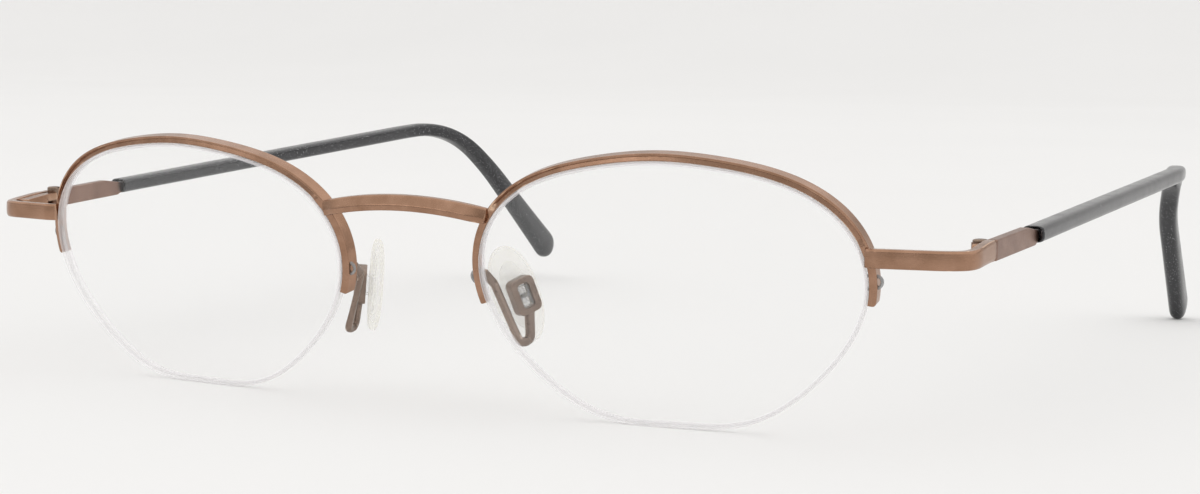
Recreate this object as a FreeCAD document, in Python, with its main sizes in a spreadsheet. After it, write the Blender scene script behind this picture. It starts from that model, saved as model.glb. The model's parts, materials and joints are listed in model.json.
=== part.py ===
import FreeCAD, Part
import Sketcher
import math
import os

from FreeCAD import Placement, Rotation, Vector

# Half rim eyeglasses, 48 mm lenses, 20 mm between them, 145 mm temples. They stand open on a table.
# X runs across the front, +X is the wearer's left. Y runs from the front back to the ear tips, Z is up.
# The wearer faces -Y. The origin is the middle of the footprint, on the table.
# Every piece is built on the left. Right pieces are mirror images, but for each temple's own set at its hinge.
# Every y below is measured from the front line, which front_line_y places in the document.

SIZES = {
    # the lens outline in polar form about its own middle: radius = mean + five harmonics
    "lens_mean": 19.55,
    "lens_oval": 3.80,
    "lens_drop": 0.60,
    "lens_square": 0.34,
    "lens_shoulder": 0.42,
    "lens_flat": 0.12,
    "lens_x": 34.0,
    "lens_height": 16.195,
    "lens_thickness": 2.0,
    "base_curve": 110.0,
    "wrap_angle": 4.8,
    "front_tilt": 11.3,
    "groove_depth": 0.35,
    "groove_width": 0.60,
    # rim section and ends, offsets measured outwards from the lens edge
    "rim_gap": 0.15,
    "rim_width": 0.9,
    "rim_depth": 1.8,
    "rim_set_back": 0.4,
    "ledge_width": 0.52,
    "ledge_depth": 0.30,
    "channel_depth": 0.30,
    "rim_end_temporal": -0.9,
    "rim_end_nasal": -2.4,
    "line_width": 0.50,
    "loop_radius": 0.75,
    "loop_wire": 0.20,
    "loop_stand": 0.45,
    "loop_hole": 0.31,
    "loop_temporal": 4.4,
    "loop_nasal": 178.0,
    # bridge
    "bridge_arch": 54.5,
    "bridge_sweep": 96.0,
    "bridge_top": 25.53,
    "bridge_front": -5.65,
    "bridge_height": 2.0,
    "bridge_depth": 1.4,
    "bridge_half": 11.5,
    # end piece, a strip that turns from the front to the side
    "strip": 1.25,
    "side_x": 69.5,
    "lug_start_x": 57.8,
    "lug_start_y": -1.15,
    "lug_corner_y": 1.15,
    "lug_low": 20.35,
    "lug_high": 22.55,
    "lug_bend": 5.0,
    # hinge
    "split_y": 10.3,
    "split_gap": 0.15,
    "hinge_x": 67.45,
    "hinge_y": 10.8,
    "knuckle": 1.05,
    "knuckle_relief": 1.17,
    "barrel_low": 20.5,
    "barrel_high": 22.9,
    "knuckle_tall": 0.84,
    "knuckle_gap": 0.04,
    "pin": 0.55,
    "pin_clearance": 0.03,
    "leaf": 0.5,
    "leaf_reach": 3.2,
    "fork_wide": 1.8,
    "fork_reach": 4.6,
    "screw_head": 0.92,
    "screw_head_tall": 0.5,
    "screw_tail": 0.2,
    "slot_width": 0.28,
    "slot_depth": 0.25,
    # temple
    "hinge_low": 20.82,
    "hinge_high": 23.27,
    "temple_rise": 0.058,
    "bar_end_y": 27.2,
    "bar_chamfer": 1.2,
    "bar_chamfer_tall": 0.62,
    "mouth_y": 26.6,
    "bend_y": 114.7,
    "ear_angle": 41.0,
    "ear_long": 38.4,
    "bend_start_y": 106.0,
    "bend_x": 67.6,
    "ear_y": 124.0,
    "ear_x": 62.1,
    "end_y": 150.0,
    "end_x": 59.4,
    "plan_bend": 30.0,
    "sleeve_thick": 2.8,
    "mouth_half": 1.03,
    "bend_half": 1.15,
    "tip_half": 2.7,
    "ear_bend": 20.0,
    "core_thick": 0.9,
    "core_tall": 1.1,
    # nose pads
    "pad_x": 10.25,
    "pad_y": 5.25,
    "pad_z": 13.9,
    "pad_long": 6.4,
    "pad_wide": 3.2,
    "pad_face": 1.0,
    "pad_back": 0.9,
    "insert_long": 4.4,
    "insert_wide": 1.9,
    "insert_thick": 0.6,
    "boss_wide": 1.2,
    "boss_long": 2.6,
    "boss_reach": 2.8,
    "plate_middle": 2.0,
    "plate_thick": 1.1,
    "plate_wide": 3.4,
    "plate_long": 4.6,
    "window_wide": 1.6,
    "window_long": 3.1,
    "trunnion": 0.30,
    "trunnion_clearance": 0.03,
    "trunnion_reach": 1.3,
    "arm_wire": 0.55,
    "arm_bend": 1.0,
    "front_line_y": -69.0,
}

# how each temple is set at its hinge, as on a worn pair: degrees it is swung in, and degrees its tip is lifted
TEMPLE_SET = {"left": (-0.5, -0.85), "right": (0.5, 0.85)}
# which way the left nose pad's length and its bearing face point
PAD_UP = (-0.242, -0.273, 0.931)
PAD_FACE = (-0.84, 0.53, -0.06)
# the left pad arm's corners, from the back of the rim down to the turn under the pad
ARM_CORNERS = [
    (9.35, -1.6, 17.2),
    (9.6, 0.9, 15.6),
    (12.5, 2.3, 8.3),
    (12.8, 4.4, 8.6),
]

doc = FreeCAD.newDocument("half_rim_eyeglasses")
sheet = doc.addObject("Spreadsheet::Sheet", "Sizes")


class Size:
    """A length with its value and the sheet expression that it comes from."""

    def __init__(self, value, text):
        self.value = value
        self.text = text

    def __add__(self, other):
        return Size(self.value + number(other), f"({self.text} + {words(other)})")

    def __radd__(self, other):
        return Size(number(other) + self.value, f"({words(other)} + {self.text})")

    def __sub__(self, other):
        return Size(self.value - number(other), f"({self.text} - {words(other)})")

    def __rsub__(self, other):
        return Size(number(other) - self.value, f"({words(other)} - {self.text})")

    def __mul__(self, other):
        return Size(self.value * number(other), f"({self.text} * {words(other)})")

    def __rmul__(self, other):
        return Size(number(other) * self.value, f"({words(other)} * {self.text})")

    def __truediv__(self, other):
        return Size(self.value / number(other), f"({self.text} / {words(other)})")

    def __neg__(self):
        return Size(-self.value, f"(0 - {self.text})")


def number(size):
    return size.value if isinstance(size, Size) else float(size)


def words(size):
    return size.text if isinstance(size, Size) else f"({size})"


def cosine(angle):
    return Size(math.cos(math.radians(angle.value)), f"cos({angle.text})")


def sine(angle):
    return Size(math.sin(math.radians(angle.value)), f"sin({angle.text})")


def fill_sheet():
    for row, (alias, value) in enumerate(SIZES.items(), start=1):
        sheet.set(f"A{row}", alias)
        sheet.set(f"B{row}", str(value))
        sheet.setAlias(f"B{row}", alias)
    doc.recompute()


def s(alias):
    return Size(float(sheet.get(alias)), f"Sizes.{alias}")


def bind(thing, **sizes):
    """Bind each named property to its size's expression."""
    for name, size in sizes.items():
        thing.setExpression(name.replace("__", "."), words(size))
    return thing


def make(kind, name, **sizes):
    thing = doc.addObject(kind, name)
    thing.Label = name
    return bind(thing, **sizes)


def spot(thing, x, y, z):
    """Put a thing at x, y, z in its own frame."""
    return bind(thing, Placement__Base__x=x, Placement__Base__y=y, Placement__Base__z=z)


def stand(thing, x, y, z):
    """Put a thing at x, y, z of the eyeglasses, y counted from the front line."""
    return spot(thing, x, s("front_line_y") + y, z)


def box(name, wide, deep, tall):
    return make("Part::Box", name, Length=wide, Width=deep, Height=tall)


def rod(name, radius, tall):
    return make("Part::Cylinder", name, Radius=radius, Height=tall)


def cut(name, base, tool):
    result = make("Part::Cut", name)
    result.Base = base
    result.Tool = tool
    return result


def common(name, first, second):
    result = make("Part::Common", name)
    result.Base = first
    result.Tool = second
    return result


def fuse(name, things):
    result = make("Part::MultiFuse", name)
    result.Shapes = things
    return result


def mirror(name, thing):
    twin = make("Part::Mirroring", name)
    twin.Source = thing
    twin.Base = Vector(0, 0, 0)
    twin.Normal = Vector(1, 0, 0)
    return twin


def sketch_on(body, plane):
    role = next(f for f in body.Origin.OriginFeatures if f.Role == plane)
    sketch = body.newObject("Sketcher::SketchObject", f"{body.Label}_sketch")
    sketch.AttachmentSupport = [(role, "")]
    sketch.MapMode = "FlatFace"
    return sketch


def draw_outline(sketch, corners):
    """A closed polygon whose corners are bound to their sizes."""
    points = [Vector(number(a), number(b), 0) for a, b in corners]
    count = len(points)
    for i in range(count):
        sketch.addGeometry(Part.LineSegment(points[i], points[(i + 1) % count]))
    for i in range(count):
        sketch.addConstraint(Sketcher.Constraint("Coincident", i, 2, (i + 1) % count, 1))
    for i, corner in enumerate(corners):
        for kind, size in zip(("DistanceX", "DistanceY"), corner):
            index = sketch.addConstraint(Sketcher.Constraint(kind, -1, 1, i, 1, number(size)))
            sketch.setExpression(f"Constraints[{index}]", words(size))
    return points


def slab(name, plane, corners, low, high, rounds=()):
    """A padded polygon with bound corners. rounds lists (corner number, radius) for its upright edges."""
    body = stand(make("PartDesign::Body", name), 0, 0, 0)
    sketch = sketch_on(body, plane)
    bind(sketch, AttachmentOffset__Base__z=low)
    points = draw_outline(sketch, corners)
    pad = body.newObject("PartDesign::Pad", f"{name}_pad")
    pad.Profile = sketch
    bind(pad, Length=high - low)
    doc.recompute()
    for order, (corner, radius) in enumerate(rounds):
        round_corner(body, f"{name}_round_{order}", sketch.Placement.multVec(points[corner]), radius)
    return body


def round_corner(body, name, point, radius):
    """Fillet the body's upright edge that starts at the sketch corner."""
    tip = body.Tip
    upright = []
    for place, edge in enumerate(tip.Shape.Edges, start=1):
        ends = [vertex.Point for vertex in edge.Vertexes]
        if len(ends) == 2 and (ends[1] - ends[0]).cross(body_normal(body)).Length < 1e-6:
            upright.append((min((end - point).Length for end in ends), place))
    distance, place = min(upright)
    if distance > 0.01:
        raise ValueError(f"{name}: the nearest edge is {distance} mm away")
    fillet = body.newObject("PartDesign::Fillet", name)
    fillet.Base = (tip, [f"Edge{place}"])
    bind(fillet, Radius=radius)
    doc.recompute()


def body_normal(body):
    sketch = next(f for f in body.Group if f.isDerivedFrom("Sketcher::SketchObject"))
    return sketch.Placement.Rotation.multVec(Vector(0, 0, 1))


# ---- lens frame: x towards the temple, y backwards, z up, origin in the middle of the lens ----

def edge_radius(angle):
    return (
        number(s("lens_mean"))
        + number(s("lens_oval")) * math.cos(2 * angle)
        + number(s("lens_drop")) * math.sin(3 * angle)
        + number(s("lens_square")) * math.cos(4 * angle)
        + number(s("lens_shoulder")) * math.sin(5 * angle)
        + number(s("lens_flat")) * math.cos(6 * angle)
    )


def edge_point(angle):
    radius = edge_radius(angle)
    return Vector(radius * math.cos(angle), 0, radius * math.sin(angle))


def edge_normal(angle):
    step = 1e-4
    along = edge_point(angle + step) - edge_point(angle - step)
    return Vector(along.z, 0, -along.x).normalize()


def outline_wire(offset):
    steps = 48
    angles = [2 * math.pi * i / steps for i in range(steps)]
    points = [edge_point(a) + edge_normal(a) * number(offset) for a in angles]
    curve = Part.BSplineCurve()
    curve.interpolate(points, PeriodicFlag=True)
    return Part.Wire([curve.toShape()])


def prism(name, outer, inner=None):
    """The lens outline moved outwards by outer, with a hole moved by inner, as a prism along y."""
    wires = [outline_wire(outer)]
    if inner is not None:
        wires.append(outline_wire(inner))
    profile = make("Part::Feature", f"{name}_profile")
    profile.Shape = Part.makeFace(wires, "Part::FaceMakerBullseye")
    result = make("Part::Extrusion", name, LengthFwd=12, LengthRev=6)
    result.Base = profile
    result.DirMode = "Custom"
    result.Dir = Vector(0, 1, 0)
    result.Solid = True
    return result


def shell(name, front, back):
    """What lies between front ahead of the lens's middle surface and back behind it."""
    outside = make("Part::Sphere", f"{name}_outside", Radius=s("base_curve") + front)
    inside = make("Part::Sphere", f"{name}_inside", Radius=s("base_curve") - back)
    for ball in (outside, inside):
        spot(ball, 0, s("base_curve"), 0)
    return cut(name, outside, inside)


def ring(name, inner, outer, front, back):
    return common(name, prism(f"{name}_prism", outer, inner), shell(f"{name}_shell", front, back))


def side_box(name, left, right, low, high):
    """A box in the lens frame that reaches through the whole depth of the rim."""
    return spot(box(name, right - left, 18, high - low), left, -6, low)


def lens_placement():
    wrap = Rotation(Vector(0, 0, 1), number(s("wrap_angle")))
    tilt = Rotation(Vector(1, 0, 0), number(s("front_tilt")))
    middle = Placement(Vector(number(s("lens_x")), 0, number(s("lens_height"))), wrap)
    front = Placement(Vector(0, number(s("front_line_y")), 0), tilt)
    return front.multiply(middle)


def in_lens_frame(thing):
    thing.Placement = lens_placement()
    return thing


def loop_frames():
    """Where the nylon loops out of the rim, near each end: a frame with x outwards and y along the rim."""
    frames = []
    for alias in ("loop_temporal", "loop_nasal"):
        angle = math.radians(number(s(alias)))
        point = edge_point(angle)
        outward = edge_normal(angle)
        depth = number(s("base_curve")) - math.sqrt(number(s("base_curve")) ** 2 - point.Length ** 2)
        middle = point + Vector(0, depth, 0)
        frames.append(Placement(middle, Rotation(outward, Vector(0, 0, 1), Vector(0, 1, 0), "XZY")))
    return frames


def along_outward(thing, frame, outward, along):
    """Turn a cylinder to point outwards from the rim, from the given offset, shifted along the rim."""
    turn = Rotation(Vector(0, 1, 0), 90)
    thing.Placement = frame.multiply(Placement(Vector(outward, along, 0), turn))
    return thing


def loop_middle():
    """How far the middle of a loop's round stands outside the lens edge."""
    return number(s("rim_gap") + s("rim_width") + s("loop_stand") - s("loop_radius"))


def loop_holes():
    holes = []
    for end, frame in enumerate(loop_frames()):
        for hole, along in enumerate((-1, 1)):
            drill = rod(f"rim_hole_{end}_{hole}", s("loop_hole"), 4)
            holes.append(along_outward(drill, frame, -1.0, along * number(s("loop_radius"))))
    return holes


def rim():
    inner = s("rim_gap")
    outer = s("rim_gap") + s("rim_width")
    front = s("rim_depth") / 2 - s("rim_set_back")
    blank = ring("rim_blank", inner, outer, front, s("rim_depth") - front)
    channel = ring("rim_channel", -1, s("rim_gap") + s("channel_depth"), s("groove_width") / 2, s("groove_width") / 2)
    ledge = ring("rim_ledge", -1, s("rim_gap") + s("ledge_width"), 3, s("ledge_depth") - front)
    below = [
        side_box("below_temporal", 0, 30, -24, s("rim_end_temporal")),
        side_box("below_nasal", -30, 0.5, -24, s("rim_end_nasal")),
    ]
    shaped = cut("rim_shaped", blank, fuse("rim_tools", [channel, ledge] + below))
    return in_lens_frame(cut("left_rim", shaped, fuse("rim_holes", loop_holes())))


def lens():
    half = s("lens_thickness") / 2
    blank = common("lens_blank", prism("lens_prism", 0), shell("lens_shell", half, half))
    groove = ring("lens_groove", -s("groove_depth"), 1, s("groove_width") / 2, s("groove_width") / 2)
    return in_lens_frame(cut("left_lens", blank, groove))


def liner():
    """The nylon bead between the metal rim and the upper lens edge."""
    half = s("line_width") / 2
    bead = ring("liner_bead", 0.02 - s("groove_depth"), s("rim_gap") + s("channel_depth") - 0.02, half, half)
    above = side_box("above_holes", -30, 30, 3.6, 24)
    return in_lens_frame(common("left_rim_liner", bead, above))


def nylon_line():
    """The clear line that holds the lower lens edge, with its loops through the rim ends."""
    half = s("line_width") / 2
    run = ring("line_run", 0.02 - s("groove_depth"), -0.01, half, half)
    top = side_box("line_top", -30, 30, -24, 2.4)
    pieces = [common("line_lower", run, top)]
    for end, frame in enumerate(loop_frames()):
        turn = make("Part::Torus", f"loop_turn_{end}", Radius1=s("loop_radius"), Radius2=s("loop_wire"))
        turn.Placement = frame.multiply(Placement(Vector(loop_middle(), 0, 0), Rotation(Vector(0, 0, 1), -90)))
        bind(turn, Angle3=180)
        pieces.append(turn)
        for leg, along in enumerate((-1, 1)):
            wire = rod(f"loop_leg_{end}_{leg}", s("loop_wire"), 0.2 + loop_middle())
            pieces.append(along_outward(wire, frame, -0.2, along * number(s("loop_radius"))))
    return in_lens_frame(fuse("left_nylon_line", pieces))


# ---- front: bridge and end pieces ----

def arc_band(name, radius, half, tall):
    return cut(name, rod(f"{name}_outer", radius + half, tall), rod(f"{name}_inner", radius - half, tall))


def bridge(neighbours):
    """A bar that arches up in front view and bows forwards in plan, soldered across both rims' faces."""
    arch = arc_band("bridge_arch_band", s("bridge_arch"), s("bridge_height") / 2, 20)
    arch.Placement.Rotation = Rotation(Vector(1, 0, 0), 90)
    stand(arch, 0, 10, s("bridge_top") - s("bridge_arch"))
    bow = arc_band("bridge_bow_band", s("bridge_sweep"), s("bridge_depth") / 2, 40)
    stand(bow, 0, s("bridge_front") + s("bridge_sweep"), 0)
    stretch = stand(box("bridge_stretch", s("bridge_half") * 2, 12, 12), -s("bridge_half"), -9, 18)
    bar = common("bridge_bar", common("bridge_bands", arch, bow), stretch)
    return cut("bridge", bar, fuse("bridge_tools", neighbours))


def end_piece(rim_piece, liner_piece):
    strip = s("strip")
    inner_x = s("side_x") - strip
    plan = slab(
        "lug_plan", "XY_Plane",
        [
            (s("lug_start_x"), s("lug_start_y")),
            (s("side_x"), s("lug_corner_y")),
            (s("side_x"), s("split_y")),
            (inner_x, s("split_y")),
            (inner_x, s("lug_corner_y") + strip),
            (s("lug_start_x"), s("lug_start_y") + strip * 1.15),
        ],
        s("lug_low") - 2, s("lug_high") + 2,
        rounds=[(1, s("lug_bend")), (4, s("lug_bend") - strip)],
    )
    side = slab(
        "lug_side", "YZ_Plane",
        [
            (-3, s("lug_low")),
            (s("lug_corner_y") + strip, s("lug_low")),
            (s("split_y"), s("hinge_low")),
            (s("split_y"), s("hinge_high")),
            (s("lug_corner_y") + strip, s("lug_high")),
            (-3, s("lug_high")),
        ],
        50, 75,
    )
    blank = common("lug_blank", plan, side)
    relief = stand(rod("lug_relief", s("knuckle_relief"), middle_tall() + 2 * s("knuckle_gap")),
                   s("hinge_x"), s("hinge_y"), middle_low() - s("knuckle_gap"))
    return cut("left_end_piece", blank, fuse("lug_tools", [rim_piece, liner_piece, relief]))


# ---- hinge ----

def middle_low():
    return s("barrel_low") + s("knuckle_tall") + s("knuckle_gap")


def middle_tall():
    return s("barrel_high") - s("barrel_low") - 2 * (s("knuckle_tall") + s("knuckle_gap"))


def on_axis(thing, z):
    return stand(thing, s("hinge_x"), s("hinge_y"), z)


def leaf_plate(name, wide, start_y, end_y):
    """A hinge leaf's plate. It runs a little into the strip, which is then cut out of it."""
    left = s("side_x") - s("strip") - wide
    plate = box(name, wide + 0.2, end_y - start_y, s("barrel_high") - s("barrel_low") - 0.4)
    return stand(plate, left, start_y, s("barrel_low") + 0.3)


def front_leaf(lug):
    """Two knuckles on a fork brazed inside the end piece. The lower bore is the tapped one."""
    upper = s("barrel_high") - s("knuckle_tall")
    fork = leaf_plate("front_leaf_fork", s("fork_wide"), s("split_y") - s("fork_reach"), s("split_y"))
    knuckles = [
        on_axis(rod("lower_knuckle", s("knuckle"), s("knuckle_tall")), s("barrel_low")),
        on_axis(rod("upper_knuckle", s("knuckle"), s("knuckle_tall")), upper),
    ]
    tools = [
        lug,
        on_axis(rod("lower_bore", s("pin"), s("knuckle_tall") + 0.2), s("barrel_low") - 0.1),
        on_axis(rod("upper_bore", s("pin") + s("pin_clearance"), s("knuckle_tall") + 0.2), upper - 0.1),
        on_axis(rod("middle_relief", s("knuckle_relief"), middle_tall() + 2 * s("knuckle_gap")),
                middle_low() - s("knuckle_gap")),
    ]
    return cut("left_front_leaf", fuse("front_leaf_blank", [fork] + knuckles), fuse("front_leaf_tools", tools))


def outer_reliefs(name):
    """Room for the front leaf's two knuckles, which the temple turns around."""
    tall = s("knuckle_tall") + s("knuckle_gap")
    return [
        on_axis(rod(f"{name}_low", s("knuckle_relief"), tall + 0.5), s("barrel_low") - 0.5),
        on_axis(rod(f"{name}_high", s("knuckle_relief"), tall + 0.7), s("barrel_high") - tall),
    ]


def rear_leaf(side, bar):
    name = f"{side}_leaf"
    start = s("split_y") + s("split_gap")
    plate = leaf_plate(f"{name}_plate", s("leaf"), start, s("split_y") + s("leaf_reach"))
    knuckle = on_axis(rod(f"{name}_knuckle", s("knuckle"), middle_tall()), middle_low())
    bore = on_axis(rod(f"{name}_bore", s("pin") + s("pin_clearance"), 4), s("barrel_low"))
    tools = [bar, bore] + outer_reliefs(f"{name}_relief")
    return cut(name, fuse(f"{name}_blank", [plate, knuckle]), fuse(f"{name}_tools", tools))


def hinge_screw():
    body = on_axis(make("PartDesign::Body", "screw_body"), s("barrel_high"))
    sketch = sketch_on(body, "XZ_Plane")
    low = -(s("barrel_high") - s("barrel_low") + s("screw_tail"))
    corners = [
        (0, low),
        (s("pin"), low),
        (s("pin"), 0),
        (s("screw_head"), 0),
        (s("screw_head"), s("screw_head_tall")),
        (0, s("screw_head_tall")),
    ]
    draw_outline(sketch, corners)
    turned = body.newObject("PartDesign::Revolution", "screw_turned")
    turned.Profile = sketch
    turned.ReferenceAxis = (sketch, ["V_Axis"])
    turned.Angle = 360
    slot = stand(box("screw_slot", 4, s("slot_width"), 1), s("hinge_x") - 2, s("hinge_y") - s("slot_width") / 2,
                 s("barrel_high") + s("screw_head_tall") - s("slot_depth"))
    return cut("left_hinge_screw", body, slot)


# ---- temple. Both are built on the left, each with its own set at the hinge ----

def set_at_hinge(side, thing):
    """Turn a temple piece about the middle of its hinge, to the side's own set."""
    swing, lift = TEMPLE_SET[side]
    hinge_middle = (s("hinge_low") + s("hinge_high")) / 2
    pivot = Vector(number(s("hinge_x")), number(s("hinge_y") + s("front_line_y")), number(hinge_middle))
    turn = Rotation(Vector(0, 0, 1), swing).multiply(Rotation(Vector(1, 0, 0), lift))
    thing.Placement = Placement(Vector(0, 0, 0), turn, pivot)
    return thing


def bar_mid(y):
    """The height of the temple's centre line at y, on its straight stretch."""
    start = (s("hinge_low") + s("hinge_high")) / 2
    return start + (y - s("split_y")) * s("temple_rise")


def temple_bar(side):
    name = f"{side}_bar"
    half = (s("hinge_high") - s("hinge_low")) / 2
    start = s("split_y") + s("split_gap")
    end = s("bar_end_y")
    taper = end - s("bar_chamfer")
    strip = slab(
        f"{name}_strip", "YZ_Plane",
        [
            (start, bar_mid(start) - half),
            (taper, bar_mid(taper) - half),
            (end, bar_mid(end) - half + s("bar_chamfer_tall")),
            (end, bar_mid(end) + half - s("bar_chamfer_tall")),
            (taper, bar_mid(taper) + half),
            (start, bar_mid(start) + half),
        ],
        s("side_x") - s("strip"), s("side_x"),
    )
    stock = stand(box(f"{name}_stock", 5, 30, 8), s("side_x") - 3, 0, 18)
    blank = set_at_hinge(side, common(f"{name}_blank", strip, stock))
    return cut(name, blank, fuse(f"{name}_tools", outer_reliefs(f"{name}_relief")))


def temple_blank(name, start_y, mouth_half, bend_half, tip_half, thick, tip_back, tip_round):
    """A strip along the temple: its side view and its plan, each padded, and what the two share."""
    along_y = cosine(s("ear_angle"))
    along_z = -sine(s("ear_angle"))
    reach = s("ear_long") - tip_back
    bend_y = s("bend_y")
    bend_z = bar_mid(bend_y)
    end_y = bend_y + reach * along_y
    end_z = bend_z + reach * along_z
    side = slab(
        f"{name}_side", "YZ_Plane",
        [
            (start_y, bar_mid(start_y) - mouth_half),
            (bend_y - bend_half * 0.45, bend_z - bend_half * 1.05),
            (end_y + tip_half * along_z, end_z - tip_half * along_y),
            (end_y - tip_half * along_z, end_z + tip_half * along_y),
            (bend_y + bend_half * 0.45, bend_z + bend_half * 1.05),
            (start_y, bar_mid(start_y) + mouth_half),
        ],
        50, 75,
        rounds=[(1, s("ear_bend") - bend_half), (4, s("ear_bend") + bend_half), (2, tip_round), (3, tip_round)],
    )
    half = thick / 2
    mouth_x = s("side_x") - s("strip") / 2
    middle = [
        (mouth_x, start_y),
        (s("bend_x"), s("bend_start_y")),
        (s("ear_x"), s("ear_y")),
        (s("end_x"), s("end_y")),
    ]
    inner = [(x - half, y) for x, y in middle]
    outer = [(x + half, y) for x, y in reversed(middle)]
    tight = s("plan_bend") - half
    wide = s("plan_bend") + half
    plan = slab(f"{name}_plan", "XY_Plane", inner + outer, -3, 35, rounds=[(1, tight), (2, wide), (5, tight), (6, wide)])
    return common(name, side, plan)


def core_wire(side):
    half = s("core_tall") / 2
    wire = temple_blank(f"{side}_core", s("bar_end_y"), half, half, half, s("core_thick"), 5, half * 0.8)
    return set_at_hinge(side, wire)


def sleeve(side, bar, core):
    name = f"{side}_sleeve"
    blank = temple_blank(f"{name}_blank", s("mouth_y"), s("mouth_half"), s("bend_half"), s("tip_half"),
                         s("sleeve_thick"), 0, s("tip_half") * 0.95)
    return cut(name, set_at_hinge(side, blank), fuse(f"{name}_tools", [bar, core]))


def temple(side):
    bar = temple_bar(side)
    core = core_wire(side)
    return {
        "temple_bar": bar,
        "rear_leaf": rear_leaf(side, bar),
        "core_wire": core,
        "temple_sleeve": sleeve(side, bar, core),
    }


# ---- nose pads. Pad frame: x across the pad, y up its length, z out of its bearing face ----

def pad_placement():
    up = Vector(*PAD_UP).normalize()
    face = Vector(*PAD_FACE).normalize()
    middle = Vector(number(s("pad_x")), number(s("pad_y") + s("front_line_y")), number(s("pad_z")))
    return Placement(middle, Rotation(up.cross(face), up, face, "ZYX"))


def in_pad_frame(thing):
    thing.Placement = pad_placement()
    return thing


def oval(name, long_half, wide_half, low, high):
    edge = make("Part::Ellipse", f"{name}_edge", MajorRadius=long_half, MinorRadius=wide_half)
    edge.Placement.Rotation = Rotation(Vector(0, 0, 1), 90)
    spot(edge, 0, 0, low)
    result = make("Part::Extrusion", name, LengthFwd=high - low)
    result.Base = edge
    result.DirMode = "Custom"
    result.Dir = Vector(0, 0, 1)
    result.Solid = True
    return result


def centred_box(name, wide, long, low, high):
    return spot(box(name, wide, long, high - low), wide * -0.5, long * -0.5, low)


def cross_rod(name, radius, half):
    """A rod across the pad at the pivot."""
    thing = rod(name, radius, half * 2)
    thing.Placement.Rotation = Rotation(Vector(0, 1, 0), 90)
    return spot(thing, half * -1, 0, -s("plate_middle"))


def pad_core():
    """The stiff insert moulded into the pad, with the boss and trunnions that rock in the arm's plate."""
    plate = oval("insert_plate", s("insert_long"), s("insert_wide"), -s("insert_thick"), 0)
    boss = centred_box("insert_boss", s("boss_wide"), s("boss_long"), -s("boss_reach"), -s("insert_thick") / 2)
    pivot = cross_rod("insert_trunnions", s("trunnion"), s("trunnion_reach"))
    return in_pad_frame(fuse("left_pad_core", [plate, boss, pivot]))


def nose_pad():
    blank = oval("pad_blank", s("pad_long"), s("pad_wide"), -s("pad_back"), s("pad_face"))
    plate = oval("pad_hollow", s("insert_long"), s("insert_wide"), -s("insert_thick"), 0)
    boss = centred_box("pad_slot", s("boss_wide"), s("boss_long"), -s("boss_reach"), -s("insert_thick") / 2)
    return in_pad_frame(cut("left_nose_pad", blank, fuse("pad_hollows", [plate, boss])))


def bent_wire(points, bend):
    """Straight runs joined by tangent arcs."""
    edges = []
    last = points[0]
    for before, corner, after in zip(points, points[1:], points[2:]):
        into = (corner - before).normalize()
        away = (after - corner).normalize()
        half_turn = into.getAngle(away) / 2
        reach = bend * math.tan(half_turn)
        first = corner - into * reach
        final = corner + away * reach
        inward = (away - into).normalize()
        middle = corner + inward * (bend / math.cos(half_turn) - bend)
        edges.append(Part.LineSegment(last, first).toShape())
        edges.append(Part.Arc(first, middle, final).toShape())
        last = final
    edges.append(Part.LineSegment(last, points[-1]).toShape())
    return Part.Wire(edges)


def pad_arm(rim_piece):
    """A bent wire from the back of the rim, down and round under the pad, up to the pad's plate."""
    line = Vector(0, number(s("front_line_y")), 0)
    low_end = pad_placement().multVec(Vector(0, -1.9, -number(s("plate_middle"))))
    route = [Vector(*corner) + line for corner in ARM_CORNERS] + [low_end]
    path = bent_wire(route, number(s("arm_bend")))
    start = path.Edges[0]
    circle = Part.Circle(route[0], start.tangentAt(start.FirstParameter), number(s("arm_wire")))
    wire = make("Part::Feature", "arm_wire_bent")
    wire.Shape = path.makePipeShell([Part.Wire([circle.toShape()])], True, True)
    half = s("plate_thick") / 2
    low = -s("plate_middle") - half
    high = half - s("plate_middle")
    blank = centred_box("arm_plate", s("plate_wide"), s("plate_long"), low, high)
    window = centred_box("arm_window", s("window_wide"), s("window_long"), low - 1, high + 1)
    bearing = cross_rod("arm_bearing", s("trunnion") + s("trunnion_clearance"), s("trunnion_reach") + 0.05)
    plate = in_pad_frame(cut("arm_plate_cut", blank, fuse("arm_plate_tools", [window, bearing])))
    clear = in_pad_frame(centred_box("arm_clear", s("window_wide"), s("window_long"), low - 0.2, high + 0.2))
    joined = fuse("arm_joined", [cut("arm_wire_clear", wire, clear), plate])
    return cut("left_pad_arm", joined, rim_piece)


def build():
    half = {}
    half["rim"] = rim()
    half["lens"] = lens()
    half["rim_liner"] = liner()
    half["nylon_line"] = nylon_line()
    half["end_piece"] = end_piece(half["rim"], half["rim_liner"])
    half["front_leaf"] = front_leaf(half["end_piece"])
    half["hinge_screw"] = hinge_screw()
    half["pad_core"] = pad_core()
    half["nose_pad"] = nose_pad()
    half["pad_arm"] = pad_arm(half["rim"])
    left = {**half, **temple("left")}
    right = {**half, **temple("right")}
    nodes = {f"left_{name}": piece for name, piece in left.items()}
    for name, piece in right.items():
        nodes[f"right_{name}"] = mirror(f"right_{name}", piece)
    neighbours = [nodes[f"{side}_{name}"] for side in ("left", "right") for name in ("rim", "rim_liner")]
    nodes["bridge"] = bridge(neighbours)
    for name, piece in nodes.items():
        piece.Label = name
    return nodes


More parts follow.
